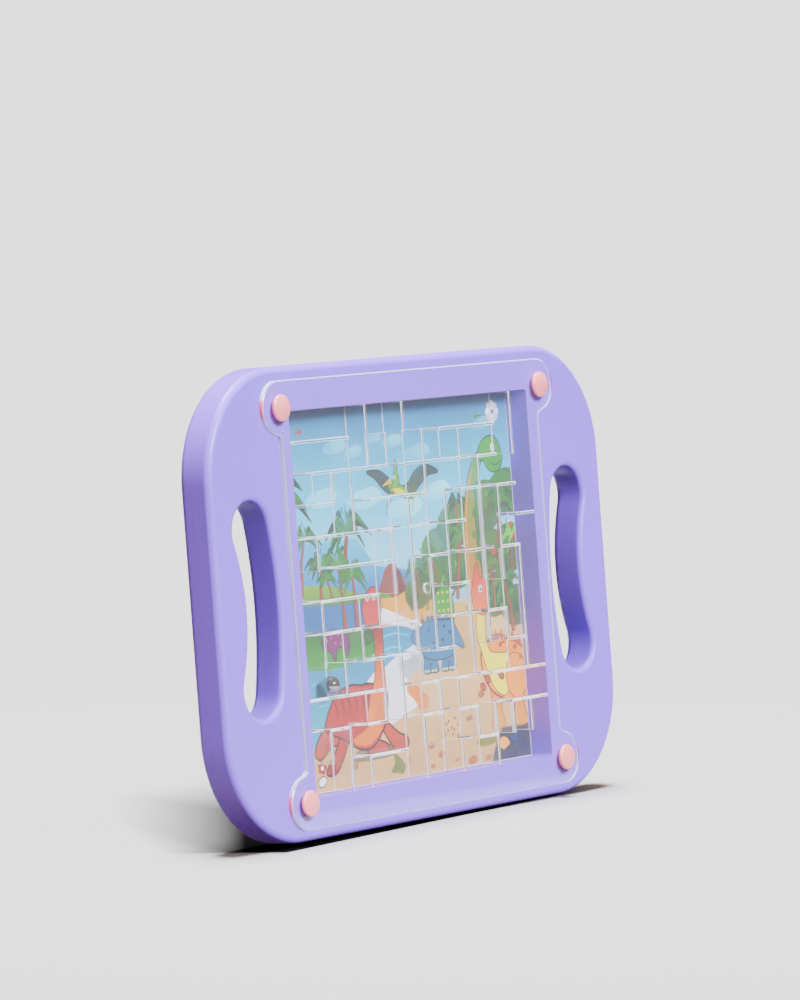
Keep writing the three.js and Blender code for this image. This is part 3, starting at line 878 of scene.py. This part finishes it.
def landscape(art):
    sky = ((84, (92, 150, 182)), (74, (118, 174, 200)), (58, (146, 198, 216)),
        (40, (168, 210, 226)), (18, (190, 220, 232)), (-84, (214, 184, 152)))
    for (high, a), (low, b) in zip(sky, sky[1:]):
        art.fill((ink(*a), ink(*b), high, low), [(-91, high), (-91, low), (91, low), (91, high)])
    # clouds
    for x, z, r, tone in ((-44, 66, 9, 168), (-30, 63, 7, 172), (-14, 68, 6, 168),
            (-1, 66, 8, 172), (18, 60, 10, 170), (-56, 44, 12, 184), (-24, 42, 13, 186),
            (6, 36, 14, 190), (30, 42, 12, 186), (70, 70, 8, 160)):
        art.oval(ink(tone, tone + 36, tone + 50), x, z, r, r * 0.34, 4)
        art.oval(ink(tone + 8, tone + 42, tone + 54), x + r * 0.3, z + 1, r * 0.6, r * 0.3, 4)
    # the sea as far as the horizon, two rocks and the far shores
    art.fill((ink(164, 204, 224), ink(108, 166, 204), 25, 2), [(-91, 25), (-91, -2), (8, -2),
        (8, 8), (-20, 12), (-33, 25)])
    art.shape(ink(176, 124, 112), [(-18, -4), (-14, 8), (-8, 12), (-1, 8), (3, -4)])
    art.shape(ink(150, 104, 100), [(-9, 12), (-4, 6), (-2, -3), (2, -4), (-1, 8)], None, 0, 4)
    art.shape((ink(170, 192, 138), ink(124, 164, 108), 6, -4), [(-96, 6), (-74, 7), (-52, 5),
        (-34, 1), (-16, 0), (-10, -5), (-40, -6), (-96, -3)])
    art.shape(ink(80, 150, 192), [(-96, -2), (-50, -3), (-26, -4), (-20, -10), (-26, -17),
        (-96, -17)])
    art.shape(ink(226, 192, 154), [(-20, -3), (-6, -3), (8, 0), (22, -5), (20, -19), (4, -17),
        (-20, -7)])
    # surf and the shallow water, with the near bank and the lagoon
    art.shape(ink(236, 236, 236), [(-20, -7), (-8, -10), (4, -14), (13, -17), (12, -24), (2, -31),
        (-8, -33), (2, -44), (8, -52), (2, -59), (-16, -63), (-36, -60), (-46, -48), (-34, -38),
        (-24, -31), (-24, -14)])
    art.shape((ink(84, 170, 200), ink(104, 188, 208), -16, -32), [(-24, -16), (-6, -16), (4, -18),
        (9.5, -22), (3, -26), (-8, -29), (-24, -34)])
    art.stroke(ink(150, 212, 222), [(-18, -20), (-8, -19), (2, -21)], 0.7)
    art.stroke(ink(150, 212, 222), [(-19, -26), (-12, -25), (-4, -26)], 0.6)
    art.shape((ink(102, 150, 104), ink(138, 178, 112), -14, -31), [(-96, -14), (-60, -14),
        (-34, -15), (-26, -18), (-25, -26), (-40, -30), (-60, -31), (-96, -33)])
    art.shape((ink(84, 176, 202), ink(112, 190, 206), -31, -60), [(-96, -32), (-56, -31),
        (-30, -28), (-22, -31), (-32, -38), (-46, -48), (-52, -60), (-96, -62)])
    for x, z in ((-70, -36), (-56, -38), (-66, -46), (-58, -54), (-72, -56)):
        art.stroke(ink(150, 212, 220), [(x - 4, z - 0.6), (x, z), (x + 5, z - 0.4)], 0.6, 0.4)
    # beach
    art.shape((ink(226, 205, 184), ink(212, 191, 168), -38, -84), [(-96, -66), (-72, -65),
        (-46, -64), (-20, -60), (-4, -55), (4, -52), (-3, -46), (-1, -41), (10, -37), (26, -39),
        (40, -36), (60, -14), (96, -18), (96, -90), (-96, -90)])
    art.shape(ink(222, 198, 174), [(34, -12), (48, -9), (64, -12), (66, -40), (40, -42),
        (34, -30)])
    art.shape(ink(226, 174, 116), [(-2.5, -42.5), (3, -42.5), (8, -46), (13.5, -49.5), (13, -53.5),
        (7, -55), (3, -51), (-1, -47)])
    art.shape(ink(160, 158, 140), [(-48, -70), (-36, -67), (-14, -67.5), (-9, -70), (-20, -73),
        (-44, -73)])
    # bushes, with leaves over them
    for x, z, r, shift in ((15, 5, 9, 26), (28, 16, 13, 30), (44, 26, 15, 24), (66, 32, 17, 20),
            (84, 38, 15, 14), (12, -2, 11, 0), (26, 2, 12, 6), (44, 6, 13, 0), (66, 12, 15, 6),
            (84, 12, 16, -4), (72, -8, 14, -6), (88, -14, 13, -10)):
        art.oval(ink(98 + shift, 138 + shift // 2, 106 + shift), x, z, r, r * 0.72, 14)
        art.oval(ink(112 + shift, 152 + shift // 2, 112 + shift), x - r * 0.2, z + r * 0.24,
            r * 0.66, r * 0.40, 14)
    leaf = ((76, 128, 88), (150, 190, 122), (66, 112, 82), (120, 168, 104))
    for k in range(96):
        x, z = 4 + k * 37 % 86 + 0.6 * (k % 3), -16 + k * 23 % 58
        if z < 12 + x * 0.36:
            lean, size = math.radians(40 + k * 67 % 110), 3.4 + k % 4
            art.stroke(ink(*leaf[k % 4]), [(x, z), (x + 0.6 * size * math.cos(lean) + 0.6,
                z + 0.5 * size * math.sin(lean)), (x + size * math.cos(lean), z + size * 0.6)],
                2.0, 0.1)
    art.oval(ink(84, 130, 88), -30, -19, 5, 3.4)
    for k in range(8):
        art.oval(ink(140, 176, 120), -34 + k * 1.2, -18.5 - (k % 3), 0.5, 0.4)


def trees(art):
    for tree in ((-88, 8, -85, 45, 21, 1), (-76, 2, -71, 27, 14, 2), (-43, 6, -39, 30, 19, 3),
            (-62, 0, -60, 15, 13, 6), (-46, -14, -48, 15, 14, 4, (64, 134, 74)), (-37, -14, -38, 9,
            14, 5, (74, 142, 78)), (-54, -2, -57, 9, 9, 9), (44, 8, 46, 36, 10, 7, (70, 104, 94),
            (92, 126, 112)), (42, -8, 47, 20, 14, 8), (28, -8, 24, 12, 11, 10),
            (12, -4, 11, 9, 10, 11), (76, 4, 80, 34, 13, 12), (86, -2, 88, 18, 12, 13,
            (84, 150, 74), (160, 196, 90)), (84, -26, 79, -2, 15, 14), (70, -16, 70, 6, 11, 15)):
        palm(art, *tree)
    art.dots(ink(226, 112, 92), ((71, 13), (87, 23), (90, 18), (73, 11)), 1.7, 1.1, 30)


def animals(art):
    # flying reptile
    wing, edge, skin = ink(96, 118, 116), ink(62, 84, 84), ink(158, 186, 140)
    art.shape(wing, [(-2, 47), (-7, 51), (-13, 53.6), (-21.5, 53.5), (-16, 50.5), (-12, 47),
        (-7, 43.5), (-3, 44)], edge, 0.35)
    art.shape(wing, [(4, 45), (10, 47), (16, 52), (24, 54), (33, 50.6), (25, 49.4), (18, 45),
        (12, 41), (6, 42)], edge, 0.35)
    art.shape(skin, [(-6, 46), (-2, 48), (4, 46), (9, 43.5), (12, 40), (6, 40.5), (-2, 42.5)],
        edge, 0.3)
    art.shape(skin, [(-5, 44), (-2, 48), (-0.5, 54), (0.4, 58), (1.4, 53), (2.4, 48), (0, 44.5)],
        edge, 0.3)
    art.fill(ink(222, 206, 140), [(-4, 50), (-11, 46.4), (-3, 47.6)])
    art.shape(ink(222, 216, 176), [(-3, 44.6), (2, 45), (7, 42.6), (2, 42)], None, 0, 4)
    for x in (-9, -6.6, 11):
        art.stroke(edge, [(x + 3.6, 42), (x + 1, 37.6), (x, 33.4)], 0.7, 0.5)
    eye(art, -0.8, 50, 0.8)

    # tall long-neck behind the trees on the right
    green, shade = ink(134, 180, 94), ink(70, 112, 66)
    art.shape((ink(150, 184, 108), ink(206, 168, 108), 50, 0), [(71, 60), (66, 51), (62, 42),
        (60, 30), (60, 12), (63, -8), (50, -8), (50.5, 12), (51.5, 28), (55, 42), (60, 52),
        (66, 58)], shade, 0.4)
    art.shape(ink(226, 180, 118), [(61, 51), (57, 42), (54, 30), (53, 14), (53, -6), (51.5, -6),
        (51.5, 14), (52.5, 30), (56, 43)], None, 0, 4)
    art.shape(green, [(64.5, 54.6), (67, 60), (72, 63.4), (79, 63.6), (83, 59.4), (84, 53.6),
        (81.4, 48.8), (76, 47.8), (71.6, 50), (69.6, 53)], shade, 0.45)
    art.stroke(shade, [(83.4, 52.4), (79, 50.6), (74.6, 51.6)], 0.5)
    eye(art, 77.4, 58.8, 2.0)
    art.oval(ink(226, 130, 92), 66.4, 56, 1.6, 1.0, 50)
    art.dots(ink(120, 160, 96), ((59, 30), (58, 20), (59, 10), (61, 40)), 1.3, 2.0)

    # orange one on the right
    body, line, cream = ink(238, 186, 106), ink(176, 112, 70), ink(240, 230, 186)
    for x in (66, 84):
        art.shape((ink(232, 178, 112), ink(224, 188, 150), -50, -68), [(x - 4, -48), (x + 5, -48),
            (x + 4, -60), (x + 6, -68), (x - 4, -68), (x - 3, -60)], line, 0.35)
    art.shape(body, [(57, -33), (64, -28), (72, -27), (82, -30), (92, -36), (98, -48), (92, -57),
        (80, -56), (70, -54.5), (62, -50), (57, -42)], line)
    art.shape(cream, [(56.6, -14), (62, -14), (61, -24), (63, -33), (72, -35), (79, -36),
        (79, -46), (74, -54), (66, -51), (60.6, -42), (56, -30), (55, -22)], line, 0.35)
    art.shape((ink(238, 138, 92), ink(240, 168, 104), 6, -15), [(54.6, -13), (53.2, -6), (55.4, 0),
        (58, 7), (60, 1), (64, -1), (65, -8), (63, -15), (58.6, -16)], ink(190, 96, 70), 0.4)
    for k in range(6):
        x, z = 65 + k * 4.4, -27.6 - 0.25 * (k - 1.5) ** 2
        art.fill(ink(206, 128, 82), [(x - 2.4, z - 1), (x + 0.2, z + 4), (x + 2.6, z - 1.4)])
    art.shape(body, [(78, -38), (84, -36), (90, -40), (90, -52), (84, -56), (77, -53), (75, -45)],
        line, 0.4)
    art.dots(ink(202, 122, 76), ((72, -31), (78, -33), (84, -33), (88, -38), (75, -29.6)), 1.5,
        1.1, 20)
    art.dots(ink(206, 138, 104), ((60, -46), (56, -49), (71, -45)), 2.0, 1.3, -30, line)
    eye(art, 59.8, -4.6, 1.5)

    # small plated one, then the blue one in front of it
    art.shape(ink(132, 176, 86), [(22, -8), (26, -3), (31, -0.6), (36, -4), (38, -12), (36, -20),
        (27, -18), (24, -13)], ink(74, 112, 60), 0.35)
    art.dots(ink(214, 206, 110), [(26 + i * 3.6, -4 - j * 4) for j in range(3) for i in range(3)],
        0.9, 0.7)
    blue, deep = ink(88, 158, 188), ink(52, 104, 138)
    for x in (14, 19.4, 28, 33.4):
        art.shape(blue, [(x - 2.4, -28), (x + 2.6, -28), (x + 2, -34), (x + 3, -38.6),
            (x - 3, -38.6), (x - 2, -34)], deep, 0.3)
        art.oval(ink(226, 222, 190), x - 1.8, -38.2, 0.9, 0.6)
        art.oval(ink(226, 222, 190), x + 0.6, -38.2, 0.9, 0.6)
    art.shape(blue, [(4, -23), (7, -18.6), (12, -18), (18, -14.6), (26, -13.6), (33, -15.6),
        (39, -21), (44, -30), (37, -27.6), (34, -32), (24, -33.6), (14, -32), (9, -27.6)], deep,
        0.4)
    for k in range(7):
        x = 13 + k * 3.8
        art.fill(deep, [(x - 1.8, -16.6 + 0.4 * k * (k < 4)), (x + 0.4, -12.4), (x + 2, -16.6)])
    art.dots(deep, ((17, -20), (23, -18), (29, -19), (20, -26), (27, -25), (33, -22), (35, -26)),
        1.1, 0.8)
    eye(art, 8.2, -21.4, 1.0)

    # purple one at the left
    art.shape(ink(164, 96, 146), [(-64, -19), (-60, -14.6), (-53, -13.6), (-46, -16), (-43, -20),
        (-45, -26), (-47.6, -22), (-53, -22), (-55, -27.6), (-58, -23), (-62, -22)],
        ink(110, 60, 100), 0.4)
    art.dots(ink(204, 128, 168), ((-57, -17), (-52, -16), (-48, -18), (-54, -19.6), (-50, -20)),
        0.9, 0.7)
    eye(art, -61, -18, 0.8)

    # red long-neck at the lower left, with paddles
    red, line, tan = ink(206, 122, 86), ink(120, 66, 56), ink(230, 168, 108)
    for pad in ([(-52, -58), (-60, -56.6), (-68, -58), (-74, -66), (-70, -69), (-62, -64),
            (-54, -64)], [(-50, -62), (-54, -70), (-60, -76), (-67, -76), (-64, -71.6), (-58, -66),
            (-54, -60)], [(-38, -66), (-33, -64), (-22, -67), (-20, -70), (-27, -71), (-35, -69)],
            [(-25, -57), (-20, -58), (-12, -63.4), (-4.6, -66.4), (-6, -70), (-13, -71),
            (-19, -66)]):
        art.shape((ink(222, 140, 98), ink(198, 108, 80), -56, -76), pad, line)
    art.shape(red, [(-45, -39.4), (-54, -41.6), (-60, -46), (-65.6, -55), (-63, -58), (-52, -62),
        (-42, -67), (-32, -67), (-24, -61), (-19.6, -54), (-18.6, -44), (-30, -40), (-38, -40)],
        line)
    art.shape((ink(186, 108, 92), ink(240, 178, 110), -18, -52), [(-25, -12), (-19.4, -12),
        (-18.8, -30), (-18.6, -46), (-20, -54), (-26, -60), (-33, -56), (-31, -46), (-27, -38),
        (-25, -26)], line, 0.4)
    art.shape(tan, [(-19.6, -48), (-20.4, -55), (-25, -61), (-33, -66), (-42, -66), (-46, -63),
        (-38, -60), (-30, -56), (-26, -50)], None, 0)
    for k in range(6):
        x = -58 + k * 5
        art.stroke(ink(150, 70, 58), [(x, -45.6 + k * 0.8), (x + 1.6, -49.6 + k * 0.5),
            (x + 0.6, -53 + k * 0.4)], 1.1, 0.2)
    art.shape((ink(224, 110, 78), ink(230, 146, 112), 2, -14), [(-28, 0.4), (-25, 2.4), (-21, 1.6),
        (-18.6, -3), (-19, -10), (-23, -15.4), (-29, -15), (-31.6, -8), (-30.6, -3)], line, 0.4)
    eye(art, -27.4, -1.8, 1.2)
    eye(art, -22.6, -1.8, 1.2)
    art.dots(line, ((-26.6, -11), (-24, -11)), 0.5, 0.3)


def details(art):
    for x, z, rx, rz in ((12.6, -71.4, 2.4, 1.2), (20.4, -76, 2.8, 1.3), (43.6, -81, 3.2, 1.6),
            (12.6, -80.6, 1.6, 0.7), (57, -81, 2.4, 1.0), (32, -79.6, 1.6, 0.5),
            (-45, -74.6, 1.6, 1.2), (35, -69.4, 2.2, 0.9), (-5, -76, 1.4, 0.8),
            (54, -52, 2.2, 1.4), (44, -62, 2.4, 0.9)):
        art.oval(ink(190, 146, 106), x, z, rx + 0.3, rz + 0.3, 8)
        art.oval(ink(202, 160, 118), x - 0.3, z + 0.3, rx * 0.7, rz * 0.6, 8)
    art.dots(ink(184, 136, 96), ((27, -62), (29, -65), (32, -61), (31, -66), (26, -66), (34, -64),
        (29.6, -68), (25, -63), (35, -61.6), (24, -67.6)), 0.9, 0.6, 20)
    art.shape(ink(150, 156, 128), [(-17, -71.6), (-14, -73), (-11, -75), (-8.4, -78.6),
        (-10.6, -81.6), (-14, -81), (-19.6, -80), (-16.4, -76.4)])
    art.oval(ink(160, 160, 132), 56, -73.6, 8.6, 2.2, 2)
    # rocks and a shell in the lower right corner
    art.shape(ink(100, 104, 120), [(62, -86), (63, -76), (68, -70), (76, -68.6), (84, -69.6),
        (96, -70), (96, -88)])
    for x, z, r, tone in ((70, -76, 3.6, 116), (78, -73.6, 3.2, 128), (85, -78, 4.2, 108),
            (75, -81, 3.6, 100)):
        art.oval(ink(tone - 30, tone - 18, tone + 22), x, z, r, r * 0.7, 10, ink(70, 76, 104))
    for k in range(5):
        a = math.radians(30 + k * 30)
        art.stroke(ink(232, 196, 104), [(69, -78), (69 + 5 * math.cos(a), -78 + 5 * math.sin(a))],
            1.8, 1.3, False)
    # flower in the lower left corner
    for k in range(5):
        a = math.radians(k * 72)
        art.oval(ink(208, 96, 92), -70.6 + 1.9 * math.cos(a), -73 + 1.7 * math.sin(a), 1.5, 1.3)
    art.oval(ink(240, 238, 228), -70.6, -73, 1.2, 1.0)
    art.oval(ink(236, 234, 230), -71, -79, 3.0, 1.8, 20, ink(150, 140, 140))
    # start and finish marks: an arrow, a leaf and a white rosette
    art.stroke(ink(214, 110, 100), [(-73, 74.2), (-69.6, 74.2)], 0.6, 1, False)
    art.fill(ink(214, 92, 88), [(-70.4, 75.6), (-66.8, 74.2), (-70.4, 72.8)])
    art.oval(ink(120, 172, 120), 65.4, 73.8, 2.0, 1.1)
    art.stroke(ink(96, 140, 104), [(67, 73.8), (70, 73.8)], 0.4, 1, False)
    for k in range(8):
        a = math.radians(k * 45)
        art.oval(ink(214, 214, 220) if k % 2 else ink(236, 236, 238), 79 + 3.2 * math.cos(a),
            75 + 3.2 * math.sin(a), 2.3, 2.0)
    art.oval(ink(226, 226, 230), 79, 75, 2.8, 2.8)
    art.oval(ink(96, 104, 116), 79.6, 75, 1.2, 1.0)


def picture():
    art = Print()
    landscape(art)
    trees(art)
    animals(art)
    details(art)
    obj = art.mesh("card_print")
    mat, nt, bsdf = node_material("card_inks")
    colour = nt.nodes.new("ShaderNodeVertexColor")
    colour.layer_name = "ink"
    tone = nt.nodes.new("ShaderNodeHueSaturation")
    feed(nt, tone, {"Color": colour.outputs["Color"],
                    "Value": mapped(nt, noise(nt, 60, 6, 0.6), 0.90, 1.08)})
    feed(nt, bsdf, {"Base Color": tone.outputs["Color"],
                    "Roughness": mapped(nt, noise(nt, 300, 3), 0.45, 0.6),
                    "Normal": bumps(nt, noise(nt, 1500, 3), 0.06, 0.0001)})
    place(obj, "board", None, "card", mat, weighted=False)


def card():
    """The part's own card keeps its shape and gets a paper material."""
    mat, nt, bsdf = node_material("card_board")
    paper = blend_colours(nt, noise(nt, 500, 4), lin(226, 222, 210), lin(236, 232, 222))
    feed(nt, bsdf, {"Base Color": paper, "Roughness": 0.8})
    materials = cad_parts["printed_card"].data.materials
    materials.clear()
    materials.append(mat)


camera()
stage()
lights()
body()
cover()
card()
picture()
rivets()
screws()
ball()
